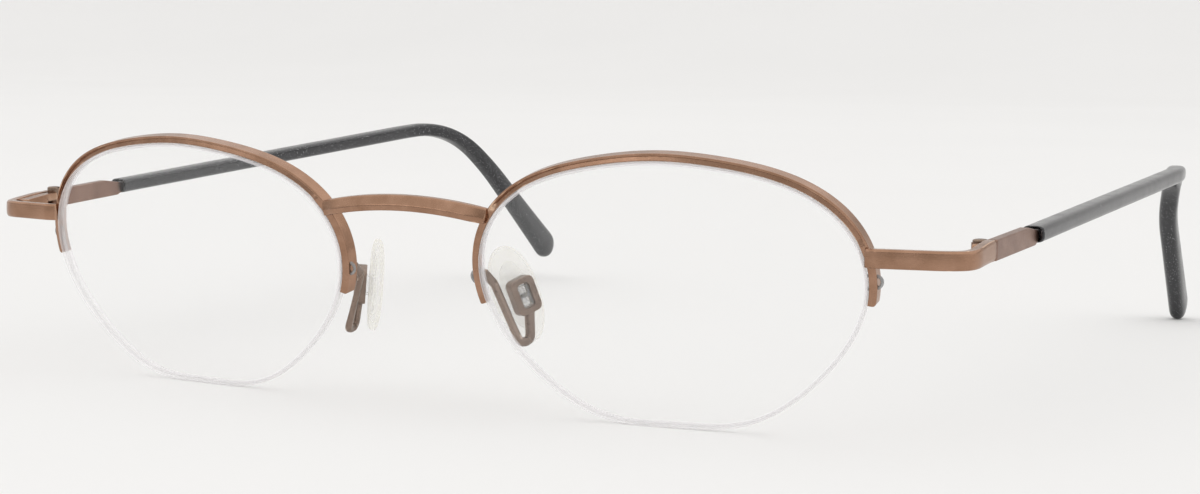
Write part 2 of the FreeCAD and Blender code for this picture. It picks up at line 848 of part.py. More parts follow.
def check_and_write(nodes):
    doc.recompute()
    for thing in doc.Objects:
        if "Invalid" in thing.State or "Error" in thing.State:
            raise RuntimeError(f"{thing.Label} failed: {thing.State}")
    for name, piece in nodes.items():
        shape = piece.Shape
        if shape.isNull() or not shape.isValid() or len(shape.Solids) != 1:
            raise RuntimeError(f"{name}: {len(shape.Solids)} solids, valid {shape.isValid()}")
    os.makedirs("parts", exist_ok=True)
    everything = FreeCAD.BoundBox()
    for name, piece in nodes.items():
        piece.Shape.exportStep(f"parts/{name}.step")
        everything.add(piece.Shape.optimalBoundingBox(False))
    print(len(nodes), "nodes", everything)


fill_sheet()
check_and_write(build())
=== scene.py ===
import json
import math

import bmesh
import bpy
import numpy as np
from mathutils import Matrix, Vector


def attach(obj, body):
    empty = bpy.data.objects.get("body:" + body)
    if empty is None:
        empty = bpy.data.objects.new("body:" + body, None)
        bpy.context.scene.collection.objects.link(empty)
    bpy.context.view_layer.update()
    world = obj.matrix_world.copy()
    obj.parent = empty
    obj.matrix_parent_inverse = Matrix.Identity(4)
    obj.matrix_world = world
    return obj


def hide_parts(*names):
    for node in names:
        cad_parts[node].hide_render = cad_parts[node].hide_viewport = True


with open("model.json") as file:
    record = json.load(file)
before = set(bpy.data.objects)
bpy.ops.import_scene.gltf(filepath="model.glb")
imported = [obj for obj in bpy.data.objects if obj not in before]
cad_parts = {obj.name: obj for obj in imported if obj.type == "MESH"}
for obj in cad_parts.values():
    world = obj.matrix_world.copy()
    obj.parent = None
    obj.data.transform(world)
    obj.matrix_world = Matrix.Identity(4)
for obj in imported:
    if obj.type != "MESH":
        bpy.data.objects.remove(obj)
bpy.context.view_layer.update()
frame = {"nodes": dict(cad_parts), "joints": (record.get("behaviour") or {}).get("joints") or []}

# Half rim eyeglasses. Every size below is in millimetres, for the wearer's left side (+X),
# with y counted from the front line; the right side is its mirror image.
MM = 0.001
SIDES = {"left": 1, "right": -1}

LENS_MEAN = 19.55
LENS_WAVES = [(2, "cos", 3.80), (3, "sin", 0.60), (4, "cos", 0.34), (5, "sin", 0.42), (6, "cos", 0.12)]
LENS_X = 34.0
LENS_HEIGHT = 16.195
LENS_HALF = 0.85
BASE_CURVE = 110.0
WRAP = math.radians(4.8)
TILT = math.radians(11.3)

RIM_INNER = 0.15
RIM_OUTER = 1.05
RIM_FRONT = -0.5
RIM_BACK = 1.3
RIM_LIP = 0.24
RIM_RECESS = 0.30
RIM_END_TEMPORAL = -0.9
RIM_END_NASAL = -2.4
LUG_JOINT = 6.1
BRIDGE_JOINT = 9.6

HINGE_X = 67.45
HINGE_Y = 10.8
HINGE_MIDDLE = 22.045
TEMPLE_SET = {"left": (-0.5, -0.85), "right": (0.5, 0.85)}

hinge_joint = next(j for j in frame["joints"] if j["name"] == "left_temple_fold")
FRONT_LINE = hinge_joint["pos_m"][1] / MM - HINGE_Y


# ---- shapes as (points, faces) ----

def unit(vector):
    return vector / np.linalg.norm(vector)


def smooth_step(value):
    t = np.clip(value, 0, 1)
    return t * t * (3 - 2 * t)


def rounded(corners, radii, steps=4):
    """A closed outline with rounded corners and a point on the straight beside each one."""
    corners = [np.array(c, float) for c in corners]
    points = []
    for i, corner in enumerate(corners):
        into = corners[i - 1] - corner
        away = corners[(i + 1) % len(corners)] - corner
        radius = radii[i] if isinstance(radii, (list, tuple)) else radii
        reach = min(radius, 0.42 * np.linalg.norm(into), 0.42 * np.linalg.norm(away))
        start = corner + unit(into) * reach
        end = corner + unit(away) * reach
        points.append(start + unit(into) * reach * 0.25)
        for t in np.linspace(0, 1, steps + 1):
            points.append((1 - t) ** 2 * start + 2 * t * (1 - t) * corner + t * t * end)
        points.append(end + unit(away) * reach * 0.25)
    return np.array(points)


def rounded_box(wide, tall, radius, steps=4):
    a, b = wide / 2, tall / 2
    return rounded([(-a, -b), (a, -b), (a, b), (-a, b)], radius, steps)


def sweep(rings, loop=False):
    """Quads from ring to ring, with flat ends unless the rings close on themselves."""
    rings = np.array(rings, float)
    count, size = rings.shape[:2]
    faces = []
    for i in range(count if loop else count - 1):
        for j in range(size):
            k = (j + 1) % size
            n = (i + 1) % count
            faces.append((i * size + j, i * size + k, n * size + k, n * size + j))
    if not loop:
        faces.append(tuple(reversed(range(size))))
        faces.append(tuple(range((count - 1) * size, count * size)))
    return rings.reshape(-1, 3), faces


def merged(*shapes):
    points = []
    faces = []
    for shape_points, shape_faces in shapes:
        start = len(points)
        points.extend(shape_points)
        faces.extend(tuple(start + i for i in face) for face in shape_faces)
    return np.array(points), faces


def softened_path(corners, radius, steps=8, stretch=6):
    """Straight runs with round turns, as points."""
    corners = [np.array(c, float) for c in corners]
    points = [corners[0]]
    for before, corner, after in zip(corners, corners[1:], corners[2:]):
        into = unit(before - corner)
        away = unit(after - corner)
        turn = math.pi - math.acos(np.clip(np.dot(into, away), -1, 1))
        reach = radius * math.tan(turn / 2)
        reach = min(reach, 0.48 * np.linalg.norm(before - corner), 0.48 * np.linalg.norm(after - corner))
        start = corner + into * reach
        end = corner + away * reach
        points.extend(points[-1] + (start - points[-1]) * t for t in np.linspace(0, 1, stretch)[1:-1])
        for t in np.linspace(0, 1, steps + 1):
            points.append((1 - t) ** 2 * start + 2 * t * (1 - t) * corner + t * t * end)
    last = points[-1]
    points.extend(last + (corners[-1] - last) * t for t in np.linspace(0, 1, stretch)[1:])
    return np.array(points)


def evened(path, step):
    """The same way with points about a step apart."""
    lengths = np.concatenate([[0], np.cumsum(np.linalg.norm(np.diff(path, axis=0), axis=1))])
    marks = np.linspace(0, lengths[-1], max(int(lengths[-1] / step), 4))
    return np.stack([np.interp(marks, lengths, path[:, k]) for k in range(3)], -1)


def tangents(path):
    along = np.gradient(path, axis=0)
    return along / np.linalg.norm(along, axis=1)[:, None]


def follow(path, section, wide_axis):
    """Rings of a section along a path.

    section(i) gives its points as (across, up), and wide_axis is roughly the way across.
    """
    rings = []
    for i, (point, along) in enumerate(zip(path, tangents(path))):
        across = np.array(wide_axis, float)
        across = unit(across - along * np.dot(across, along))
        up = np.cross(across, along)
        shape = section(i)
        rings.append(point + shape[:, :1] * across + shape[:, 1:] * up)
    return rings


def lathe(profile, middle, steps=40):
    """A turned part: profile is (radius, z) from the bottom to the top, its ends on the axis."""
    rings = []
    for angle in np.linspace(0, 2 * math.pi, steps, endpoint=False):
        c, s = math.cos(angle), math.sin(angle)
        rings.append([(middle[0] + r * c, middle[1] + r * s, z) for r, z in profile])
    rings = np.array(rings)
    size = len(profile)
    faces = []
    for i in range(steps):
        n = (i + 1) % steps
        for j in range(size - 1):
            faces.append((i * size + j, n * size + j, n * size + j + 1, i * size + j + 1))
    return rings.reshape(-1, 3), faces


def bevelled_rod(radius, low, high, bevel=0.10):
    """The profile of a rod with eased ends, for lathe."""
    near = bevel * 0.3
    far = bevel * 1.5
    lower = [(0.0, low), (radius - far, low), (radius - bevel, low), (radius - near, low + near),
             (radius, low + bevel), (radius, low + far)]
    return lower + [(r, high - (z - low)) for r, z in reversed(lower)]


def block(low, high, bevel=0.08):
    """A box with rounded edges, from its lowest to its highest corner."""
    low = np.array(low, float)
    high = np.array(high, float)
    middle = (low + high) / 2
    wide, deep, tall = high - low
    heights = [(-tall / 2, 1.6), (-tall / 2 + bevel * 0.3, 0.5), (-tall / 2 + bevel, 0.0),
               (tall / 2 - bevel, 0.0), (tall / 2 - bevel * 0.3, 0.5), (tall / 2, 1.6)]
    rings = []
    for z, inset in heights:
        ring = rounded_box(wide - inset * bevel, deep - inset * bevel, bevel * 1.5, 3)
        rings.append([middle + (x, y, z) for x, y in ring])
    return sweep(rings)


# ---- objects ----

def place(shape, name, side, body, material, replaces=()):
    """Make the mesh object of a shape on the given side, and say what it rides on and stands for."""
    points, faces = shape
    points = (np.array(points) + (0, FRONT_LINE, 0)) * MM
    points[:, 0] *= SIDES[side]
    mesh = bpy.data.meshes.new(name)
    mesh.from_pydata([tuple(p) for p in points], [], faces)
    shell = bmesh.new()
    shell.from_mesh(mesh)
    bmesh.ops.remove_doubles(shell, verts=shell.verts, dist=1e-7)
    bmesh.ops.recalc_face_normals(shell, faces=shell.faces)
    shell.to_mesh(mesh)
    shell.free()
    mesh.polygons.foreach_set("use_smooth", [True] * len(mesh.polygons))
    piece = bpy.data.objects.new(name, mesh)
    bpy.context.scene.collection.objects.link(piece)
    mesh.materials.append(material)
    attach(piece, body)
    if replaces:
        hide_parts(*replaces)
    return piece


def carve(piece, shape, side):
    """Cut a closed shape out of a piece's mesh."""
    points, faces = shape
    points = (np.array(points) + (0, FRONT_LINE, 0)) * MM
    points[:, 0] *= SIDES[side]
    mesh = bpy.data.meshes.new("cutter")
    mesh.from_pydata([tuple(p) for p in points], [], faces)
    shell = bmesh.new()
    shell.from_mesh(mesh)
    bmesh.ops.recalc_face_normals(shell, faces=shell.faces)
    shell.to_mesh(mesh)
    shell.free()
    cutter = bpy.data.objects.new("cutter", mesh)
    bpy.context.scene.collection.objects.link(cutter)
    modifier = piece.modifiers.new("carve", "BOOLEAN")
    modifier.object = cutter
    modifier.operation = "DIFFERENCE"
    modifier.solver = "EXACT"
    bpy.context.view_layer.update()
    done = bpy.data.meshes.new_from_object(piece.evaluated_get(bpy.context.evaluated_depsgraph_get()))
    piece.modifiers.clear()
    piece.data = done
    bpy.data.objects.remove(cutter)
    return piece


# ---- materials ----

class Nodes:
    """A material's node tree with short calls to add and link nodes."""

    def __init__(self, name):
        self.material = bpy.data.materials.new(name)
        self.material.use_nodes = True
        self.tree = self.material.node_tree
        self.shader = self.tree.nodes["Principled BSDF"]
        self.output = self.tree.nodes["Material Output"]
        self.coordinates = self.add("ShaderNodeTexCoord").outputs["Object"]

    def add(self, kind, **settings):
        node = self.tree.nodes.new(kind)
        for key, value in settings.items():
            setattr(node, key, value)
        return node

    def link(self, source, target):
        self.tree.links.new(source, target)

    def noise(self, scale, detail=3.0, roughness=0.5, stretch=(1, 1, 1)):
        """Noise whose grain is 1/scale metres, drawn out along an axis by a stretch below 1."""
        mapping = self.add("ShaderNodeMapping")
        mapping.inputs["Scale"].default_value = stretch
        self.link(self.coordinates, mapping.inputs["Vector"])
        texture = self.add("ShaderNodeTexNoise")
        texture.inputs["Scale"].default_value = scale
        texture.inputs["Detail"].default_value = detail
        texture.inputs["Roughness"].default_value = roughness
        self.link(mapping.outputs["Vector"], texture.inputs["Vector"])
        return texture.outputs["Fac"]

    def ramp(self, source, stops):
        """Colours or greys at positions along a factor."""
        ramp = self.add("ShaderNodeValToRGB")
        elements = ramp.color_ramp.elements
        while len(elements) < len(stops):
            elements.new(0.5)
        for element, (position, colour) in zip(elements, stops):
            element.position = position
            element.color = colour if len(colour) == 4 else (*colour, 1)
        self.link(source, ramp.inputs["Fac"])
        return ramp.outputs["Color"]

    def spread(self, source, low, high):
        """A factor between 0.3 and 0.7 drawn out to low and high."""
        span = self.add("ShaderNodeMapRange")
        span.inputs["From Min"].default_value = 0.3
        span.inputs["From Max"].default_value = 0.7
        span.inputs["To Min"].default_value = low
        span.inputs["To Max"].default_value = high
        self.link(source, span.inputs["Value"])
        return span.outputs["Result"]

    def mix(self, factor, first, second):
        mixer = self.add("ShaderNodeMix", data_type="RGBA")
        self.link(factor, mixer.inputs["Factor"])
        for value, socket in ((first, mixer.inputs["A"]), (second, mixer.inputs["B"])):
            if isinstance(value, tuple):
                socket.default_value = (*value, 1)
            else:
                self.link(value, socket)
        return mixer.outputs["Result"]

    def bump(self, height, distance, strength=1.0):
        bump = self.add("ShaderNodeBump")
        bump.inputs["Distance"].default_value = distance
        bump.inputs["Strength"].default_value = strength
        self.link(height, bump.inputs["Height"])
        self.link(bump.outputs["Normal"], self.shader.inputs["Normal"])

    def set(self, **values):
        for name, value in values.items():
            self.shader.inputs[name.replace("_", " ")].default_value = value

    def rim_glow(self, middle, edge):
        """A share that grows from the middle of a rounded clear piece to its edge."""
        facing = self.add("ShaderNodeLayerWeight")
        facing.inputs["Blend"].default_value = 0.5
        span = self.add("ShaderNodeMapRange")
        span.inputs["From Min"].default_value = 0.25
        span.inputs["From Max"].default_value = 0.95
        span.inputs["To Min"].default_value = middle
        span.inputs["To Max"].default_value = edge
        self.link(facing.outputs["Facing"], span.inputs["Value"])
        return span.outputs["Result"]

    def clear_by(self, alpha):
        """Mix the shader with clear, so that alpha of it is left."""
        clear = self.add("ShaderNodeBsdfTransparent")
        mixer = self.add("ShaderNodeMixShader")
        if isinstance(alpha, float):
            mixer.inputs["Fac"].default_value = alpha
        else:
            self.link(alpha, mixer.inputs["Fac"])
        self.link(clear.outputs["BSDF"], mixer.inputs[1])
        self.link(self.shader.outputs["BSDF"], mixer.inputs[2])
        self.link(mixer.outputs["Shader"], self.output.inputs["Surface"])


def coated_metal(name, dark, light, painted_edge_highlight, rough):
    """Satin copper-brown plating: cloudy colour, fine brushing, and a painted highlight that lightens its
    sharp edges and ridges.
    """
    n = Nodes(name)
    cloud = n.noise(420, 4.0)
    grain = n.noise(9000, 2.0, stretch=(0.25, 1, 1))
    body = n.ramp(cloud, [(0.32, dark), (0.68, light)])
    # Painted highlight: the sharpest edges, found by pointiness, are mixed towards a lighter colour.
    edges = n.add("ShaderNodeNewGeometry").outputs["Pointiness"]
    edge = n.add("ShaderNodeMapRange")
    edge.inputs["From Min"].default_value = 0.53
    edge.inputs["From Max"].default_value = 0.64
    n.link(edges, edge.inputs["Value"])
    n.link(n.mix(edge.outputs["Result"], body, painted_edge_highlight), n.shader.inputs["Base Color"])
    n.set(Metallic=1.0, Specular_IOR_Level=0.5)
    n.link(n.spread(grain, rough - 0.05, rough + 0.08), n.shader.inputs["Roughness"])
    n.bump(grain, 0.000004, 0.35)
    return n.material


def glossy_sleeve(name):
    """Black moulded plastic, polished, with a faint waviness and a little dust."""
    n = Nodes(name)
    cloud = n.noise(300, 3.0)
    dust = n.noise(5200, 1.0)
    body = n.ramp(cloud, [(0.3, (0.008, 0.008, 0.010)), (0.7, (0.016, 0.016, 0.019))])
    speck = n.ramp(dust, [(0.66, (0, 0, 0)), (0.72, (1, 1, 1))])
    n.link(n.mix(speck, body, (0.34, 0.34, 0.35)), n.shader.inputs["Base Color"])
    n.link(n.spread(cloud, 0.14, 0.24), n.shader.inputs["Roughness"])
    n.set(IOR=1.5, Specular_IOR_Level=0.6)
    n.bump(n.noise(700, 2.0), 0.00003, 0.25)
    return n.material


def clear_lens(name):
    """Coated clear plastic: nothing but its mirror gloss and a very faint tint."""
    n = Nodes(name)
    haze = n.noise(160, 3.0)
    tint = n.ramp(haze, [(0.3, (0.86, 0.87, 0.87)), (0.7, (0.92, 0.93, 0.93))])
    n.link(tint, n.shader.inputs["Base Color"])
    n.link(n.spread(haze, 0.01, 0.03), n.shader.inputs["Roughness"])
    n.set(IOR=1.5)
    n.clear_by(0.035)
    return n.material


def lens_edge_finish(name):
    """The ground edge of the lens, frosted."""
    n = Nodes(name)
    grit = n.noise(5000, 2.0)
    tint = n.ramp(grit, [(0.3, (0.94, 0.92, 0.94)), (0.7, (0.97, 0.95, 0.97))])
    n.link(tint, n.shader.inputs["Base Color"])
    n.link(n.spread(grit, 0.35, 0.55), n.shader.inputs["Roughness"])
    n.bump(grit, 0.00001, 0.5)
    n.clear_by(0.38)
    return n.material


def clear_nylon(name, shade, tint, share):
    """Smooth nylon, of which a share is left beside clear."""
    n = Nodes(name)
    grain = n.noise(2600, 2.0)
    n.link(n.ramp(grain, [(0.3, shade), (0.7, tint)]), n.shader.inputs["Base Color"])
    n.link(n.spread(grain, 0.12, 0.24), n.shader.inputs["Roughness"])
    n.bump(grain, 0.00001, 0.3)
    n.clear_by(share)
    return n.material


def silicone(name, tint, shade, share):
    """Clear silicone, faintly yellow, cloudy, with soft gloss."""
    n = Nodes(name)
    cloud = n.noise(650, 3.0)
    fine = n.noise(4200, 2.0)
    n.link(n.ramp(cloud, [(0.3, shade), (0.7, tint)]), n.shader.inputs["Base Color"])
    n.link(n.spread(fine, 0.18, 0.32), n.shader.inputs["Roughness"])
    n.set(IOR=1.42, Subsurface_Weight=0.2, Subsurface_Radius=(0.002, 0.002, 0.0016))
    n.bump(fine, 0.00001, 0.3)
    n.clear_by(n.rim_glow(*share))
    return n.material


def steel(name, dark, light, rough):
    """Plain turned or drawn metal with a fine grain."""
    n = Nodes(name)
    grain = n.noise(7000, 3.0)
    n.link(n.ramp(grain, [(0.3, dark), (0.7, light)]), n.shader.inputs["Base Color"])
    n.link(n.spread(grain, rough - 0.06, rough + 0.08), n.shader.inputs["Roughness"])
    n.set(Metallic=1.0)
    n.bump(grain, 0.000005, 0.4)
    return n.material


# The fourth colour of each plating is its painted edge highlight.
front_metal = coated_metal(
    "front_metal", (0.31, 0.176, 0.112), (0.40, 0.236, 0.158), (0.68, 0.46, 0.32), 0.21
)
temple_metal = coated_metal(
    "temple_metal", (0.24, 0.145, 0.11), (0.31, 0.195, 0.15), (0.50, 0.37, 0.29), 0.34
)
arm_metal = coated_metal(
    "arm_metal", (0.21, 0.155, 0.125), (0.29, 0.22, 0.18), (0.50, 0.40, 0.33), 0.30
)
hinge_metal = coated_metal(
    "hinge_metal", (0.17, 0.10, 0.07), (0.25, 0.15, 0.11), (0.45, 0.32, 0.25), 0.34
)
screw_steel = steel("screw_steel", (0.20, 0.145, 0.11), (0.30, 0.22, 0.17), 0.32)
core_steel = steel("core_steel", (0.40, 0.40, 0.41), (0.55, 0.55, 0.56), 0.30)
sleeve_black = glossy_sleeve("sleeve_black")
lens_clear = clear_lens("lens_clear")
lens_edge = lens_edge_finish("lens_edge")
nylon_clear = clear_nylon("nylon", (0.86, 0.85, 0.84), (0.95, 0.94, 0.93), 0.30)
nylon_grey = clear_nylon("nylon_grey", (0.30, 0.30, 0.30), (0.42, 0.42, 0.42), 0.70)
pad_silicone = silicone("pad_silicone", (0.98, 0.97, 0.90), (0.95, 0.91, 0.80), (0.18, 0.50))
pad_insert = silicone("pad_insert", (0.98, 0.97, 0.94), (0.93, 0.92, 0.88), (0.12, 0.36))


# ---- lens frame: x towards the temple, y backwards, z up, origin in the middle of the lens ----

def outline(theta, out=0.0):
    """Points of the lens outline moved outwards, as columns x and z."""
    theta = np.asarray(theta, float)
    radius = np.full(theta.shape, LENS_MEAN)
    slope = np.zeros(theta.shape)
    for order, wave, size in LENS_WAVES:
        if wave == "cos":
            radius = radius + size * np.cos(order * theta)
            slope = slope - size * order * np.sin(order * theta)
        else:
            radius = radius + size * np.sin(order * theta)
            slope = slope + size * order * np.cos(order * theta)
    along_x = slope * np.cos(theta) - radius * np.sin(theta)
    along_z = slope * np.sin(theta) + radius * np.cos(theta)
    length = np.hypot(along_x, along_z)
    x = radius * np.cos(theta) + out * along_z / length
    z = radius * np.sin(theta) - out * along_x / length
    return x, z


def on_curve(x, z, depth):
    """Lens-frame points behind the lens's middle surface by depth, put in place on the front."""
    y = BASE_CURVE - np.sqrt(BASE_CURVE ** 2 - x ** 2 - z ** 2) + depth
    across = LENS_X + x * math.cos(WRAP) - y * math.sin(WRAP)
    back = x * math.sin(WRAP) + y * math.cos(WRAP)
    up = LENS_HEIGHT + z
    leant_back = back * math.cos(TILT) - up * math.sin(TILT)
    leant_up = back * math.sin(TILT) + up * math.cos(TILT)
    return np.stack([across, leant_back, leant_up], -1)


def edge_ring(theta, section):
    """A section of (outwards, depth) points standing on the lens edge at theta."""
    x, z = outline(np.full(len(section), theta), section[:, 0])
    return on_curve(x, z, section[:, 1])


def edge_point(theta, out):
    """The point of the lens's middle surface that lies outwards of its edge at theta."""
    return edge_ring(theta, np.array([(out, 0.0)]))[0]


def angle_at_height(height, low, high, out=0.6):
    """The angle between low and high at which the outline passes a height."""
    angles = np.linspace(low, high, 4001)
    z = outline(angles, out)[1]
    return angles[np.argmin(np.abs(z - height))]


# ---- the pieces of the front ----

def rim_section(recess, keep, inset):
    """The rim's section: a lip round the front face, which is sunk beside the lip by recess."""
    corners = [
        (RIM_INNER, RIM_FRONT + recess * 0.45),
        (RIM_OUTER - RIM_LIP - 0.04, RIM_FRONT + recess),
        (RIM_OUTER - RIM_LIP, RIM_FRONT),
        (RIM_OUTER, RIM_FRONT),
        (RIM_OUTER, RIM_BACK),
        (RIM_INNER + 0.42, RIM_BACK),
        (RIM_INNER, 0.62),
    ]
    section = rounded(corners, [0.10, 0.06, 0.05, 0.09, 0.16, 0.14, 0.14], 4)
    middle = np.array([(RIM_INNER + RIM_OUTER) / 2, (RIM_FRONT + RIM_BACK) / 2])
    half = np.array([(RIM_OUTER - RIM_INNER) / 2, (RIM_BACK - RIM_FRONT) / 2])
    section = middle + (section - middle) * (1 - inset / half)
    section[:, 0] = RIM_INNER + (section[:, 0] - RIM_INNER) * keep
    return section


def rim():
    """The brow half of the rim: the channel closes at the joints, and each end is rounded off."""
    start = angle_at_height(RIM_END_TEMPORAL, -0.2, 0.2)
    end = angle_at_height(RIM_END_NASAL, math.pi - 0.2, math.pi + 0.2)
    radius = 24.5
    near = np.array([0, 0.02, 0.05, 0.09, 0.14, 0.2, 0.28, 0.36, 0.44]) / radius
    between = np.linspace(start + 0.6 / radius, end - 0.6 / radius, 230)
    angles = np.concatenate([start + near, between, (end - near)[::-1]])
    rings = []
    for theta in angles:
        height = outline(theta, 0.6)[1]
        joint = LUG_JOINT if theta < math.pi / 2 else BRIDGE_JOINT
        recess = RIM_RECESS * smooth_step((height - joint) / 0.7)
        from_end = min(theta - start, end - theta) * radius
        corner = 0.40 if theta < math.pi / 2 else 0.22
        turn = np.clip(1 - from_end / corner, 0, 1)
        keep = 1 - corner / (RIM_OUTER - RIM_INNER) * (1 - math.sqrt(1 - turn ** 2))
        edge = np.clip(1 - from_end / 0.09, 0, 1)
        inset = 0.07 * (1 - math.sqrt(1 - edge ** 2))
        rings.append(edge_ring(theta, rim_section(recess, keep, inset)))
    return sweep(rings)


def lens():
    """The lens's two polished faces, and its ground edge with the groove."""
    angles = np.linspace(0, 2 * math.pi, 181)[:-1]
    shares = [0.0, 0.15, 0.3, 0.45, 0.6, 0.75, 0.86, 0.93, 0.97]
    x, z = outline(angles)
    faces = []
    for depth in (-LENS_HALF, LENS_HALF):
        rings = [on_curve(x * share, z * share, depth) for share in shares[1:]]
        rim_x, rim_z = outline(angles, -0.14)
        rings.append(on_curve(rim_x, rim_z, depth))
        points = np.concatenate([on_curve(np.zeros(1), np.zeros(1), depth)] + rings)
        size = len(angles)
        quads = [(0, 1 + j, 1 + (j + 1) % size) for j in range(size)]
        for i in range(len(rings) - 1):
            inner = 1 + i * size
            outer = inner + size
            for j in range(size):
                k = (j + 1) % size
                quads.append((inner + j, outer + j, outer + k, inner + k))
        faces.append((points, quads))
    front_half = [(-0.14, -1.0), (-0.04, -0.96), (0, -0.86), (0, -0.42), (0, -0.3), (-0.08, -0.27),
                  (-0.26, -0.25), (-0.35, -0.2)]
    profile = front_half + [(out, -depth) for out, depth in reversed(front_half)]
    strip = []
    for out, depth in profile:
        edge_x, edge_z = outline(angles, out)
        strip.append(on_curve(edge_x, edge_z, depth * LENS_HALF))
    strip = np.array(strip)
    count, size = strip.shape[:2]
    quads = []
    for i in range(count - 1):
        for j in range(size):
            k = (j + 1) % size
            quads.append((i * size + j, i * size + k, (i + 1) * size + k, (i + 1) * size + j))
    edge = (strip.reshape(-1, 3), quads)
    return faces, edge


def tube_section(wide, tall, points=12):
    turn = np.linspace(0, 2 * math.pi, points, endpoint=False)
    return np.stack([wide * np.cos(turn), tall * np.sin(turn)], -1)


def edge_tube(start, end, out, half_out, half_depth, steps=200):
    section = tube_section(half_out, half_depth)
    section[:, 0] += out
    return sweep([edge_ring(theta, section) for theta in np.linspace(start, end, steps)])


def liner():
    start = angle_at_height(3.8, -0.1, 0.6)
    end = angle_at_height(3.8, math.pi - 0.6, math.pi + 0.1)
    return edge_tube(start, end, 0.02, 0.24, 0.25)


def nylon_loop(theta):
    """The line's short loop out through two holes in the rim and back."""
    turn = 0.75
    stand = RIM_OUTER + 0.45 - turn
    angles = np.linspace(-math.pi / 2, math.pi / 2, 15)
    arc = [(stand + turn * math.cos(a), turn * math.sin(a)) for a in angles]
    legs = [(-0.15, -turn), (0.2, -turn), (0.5, -turn)] + arc + [(0.5, turn), (0.2, turn), (-0.15, turn)]
    centre = np.array([edge_point(theta, out) for out, _ in legs])
    up = unit(edge_point(theta + 0.01, 0.0) - edge_point(theta - 0.01, 0.0))
    path = centre + np.array([along for _, along in legs])[:, None] * up
    outward = edge_point(theta, 1.0) - edge_point(theta, 0.0)
    depth_axis = np.cross(unit(outward), up)
    return sweep(follow(path, lambda i: tube_section(0.2, 0.2), depth_axis))


def nylon_line():
    start = angle_at_height(2.2, math.pi - 0.4, math.pi + 0.1)
    end = angle_at_height(2.2, -0.1, 0.4) + 2 * math.pi
    return edge_tube(start, end, -0.10, 0.20, 0.24)


def bridge():
    """A bar that arches up and bows forwards, its ends thinning over the rims' faces."""
    arch, bow, top, front, half = 54.5, 96.0, 25.53, -5.65, 11.5
    near_end = np.linspace(half - 0.3, half, 5)[1:]
    across = np.concatenate([-near_end[::-1], np.linspace(-half + 0.3, half - 0.3, 90), near_end])
    rings = []
    for x in across:
        z = top - arch + math.sqrt(arch ** 2 - x ** 2)
        y = front + bow - math.sqrt(bow ** 2 - x ** 2)
        up = unit(np.array([x, 0, math.sqrt(arch ** 2 - x ** 2)]))
        end = smooth_step((abs(x) - (half - 2.2)) / 2.2)
        rounding = np.clip(1 - (half - abs(x)) / 0.3, 0, 1)
        scale = 1 - 0.25 * (1 - math.sqrt(1 - rounding ** 2))
        face = -0.70 + 0.55 * end
        lean = 1 - 0.6 * end
        corners = [(-1.0, face + 0.16 * lean), (-0.34, face), (0.90, face + 0.58 * lean),
                   (1.0, 0.72), (-1.0, 0.70)]
        section = rounded(corners, [0.16, 0.20, 0.20, 0.14, 0.14], 5) * (scale, 1)
        rings.append([np.array([x, y + d, z]) + up * h for h, d in section])
    return sweep(rings)


LUG_FRONT = (20.35, 22.55)
LUG_BACK = (20.82, 23.27)
LUG_TURN_Y = 2.4
LUG_END_Y = 10.3
LUG_X = 69.5
STRIP = 1.25


def lug_heights(y):
    """The end piece's lower and upper edge at y on its way back."""
    rise = smooth_step((y - LUG_TURN_Y) / (LUG_END_Y - LUG_TURN_Y))
    return tuple(front + (back - front) * rise for front, back in zip(LUG_FRONT, LUG_BACK))


def end_piece():
    """The strip that leaves the rim's face, thinned where it is soldered on, and turns back to the hinge."""
    outer = [(57.8, -1.15, 0), (LUG_X, 1.15, 0), (LUG_X, LUG_END_Y, 0)]
    path = evened(softened_path(outer, 5.6, 60, 40), 0.22)
    along = tangents(path)
    rings = []
    for i, (point, ahead) in enumerate(zip(path, along)):
        if i == 0:
            ahead = along[1]
        inward = np.array([-ahead[1], ahead[0], 0])
        low, high = lug_heights(point[1])
        middle = (low + high) / 2
        half = (high - low) / 2
        from_start = np.linalg.norm(point - path[0])
        thin = smooth_step(1 - from_start / 1.6) * 0.55
        corners = [(-half, thin + 0.20), (0.35 - half, thin + 0.03), (0, thin), (half - 0.26, thin + 0.03),
                   (half, thin + 0.24), (half, STRIP), (-half, STRIP)]
        section = rounded(corners, [0.12, 0.3, 0.5, 0.10, 0.08, 0.14, 0.14], 4)
        rings.append([point + inward * d + np.array([0, 0, middle + h]) for h, d in section])
    return sweep(rings)


# ---- hinge ----

BARREL_LOW = 20.5
BARREL_HIGH = 22.9
KNUCKLE = 1.05
KNUCKLE_TALL = 0.84
KNUCKLE_GAP = 0.04
LEAF_LEFT = 67.75
LEAF_RIGHT = 68.3
FORK_LEFT = {"left": 67.2, "right": 66.45}
FORK_FRONT = 4.2
FORK_BACK = 10.28
FORK_EASE = 0.08
SCREW_HEAD_TALL = {"left": 0.4, "right": 1.1}


def knuckle(low, high):
    return lathe(bevelled_rod(KNUCKLE, low, high, 0.07), (HINGE_X, HINGE_Y))


def front_fork(side):
    """The block brazed into the end piece's corner; the left one is cut low ahead of its knuckles."""
    rings = []
    step_up = np.linspace(8.0, 8.6, 7)
    ys = [FORK_FRONT, 4.22, 4.28, 4.4, 5.0, 6.0, 7.0, *step_up, 9.0, 10.0, 10.15, 10.24, FORK_BACK]
    for y in ys:
        inset = FORK_EASE * np.clip(1 - min(y - FORK_FRONT, FORK_BACK - y) / FORK_EASE, 0, 1)
        low, high = lug_heights(y)
        low += 0.15
        high -= 0.12
        if side == "left":
            high = 22.05 + 0.79 * smooth_step((y - 8.0) / 0.5)
        ring = rounded_box(LEAF_RIGHT - FORK_LEFT[side] - inset, high - low - inset, 0.12)
        middle = (LEAF_RIGHT + FORK_LEFT[side]) / 2
        rings.append([(middle + a, y, (low + high) / 2 + b) for a, b in ring])
    return sweep(rings)


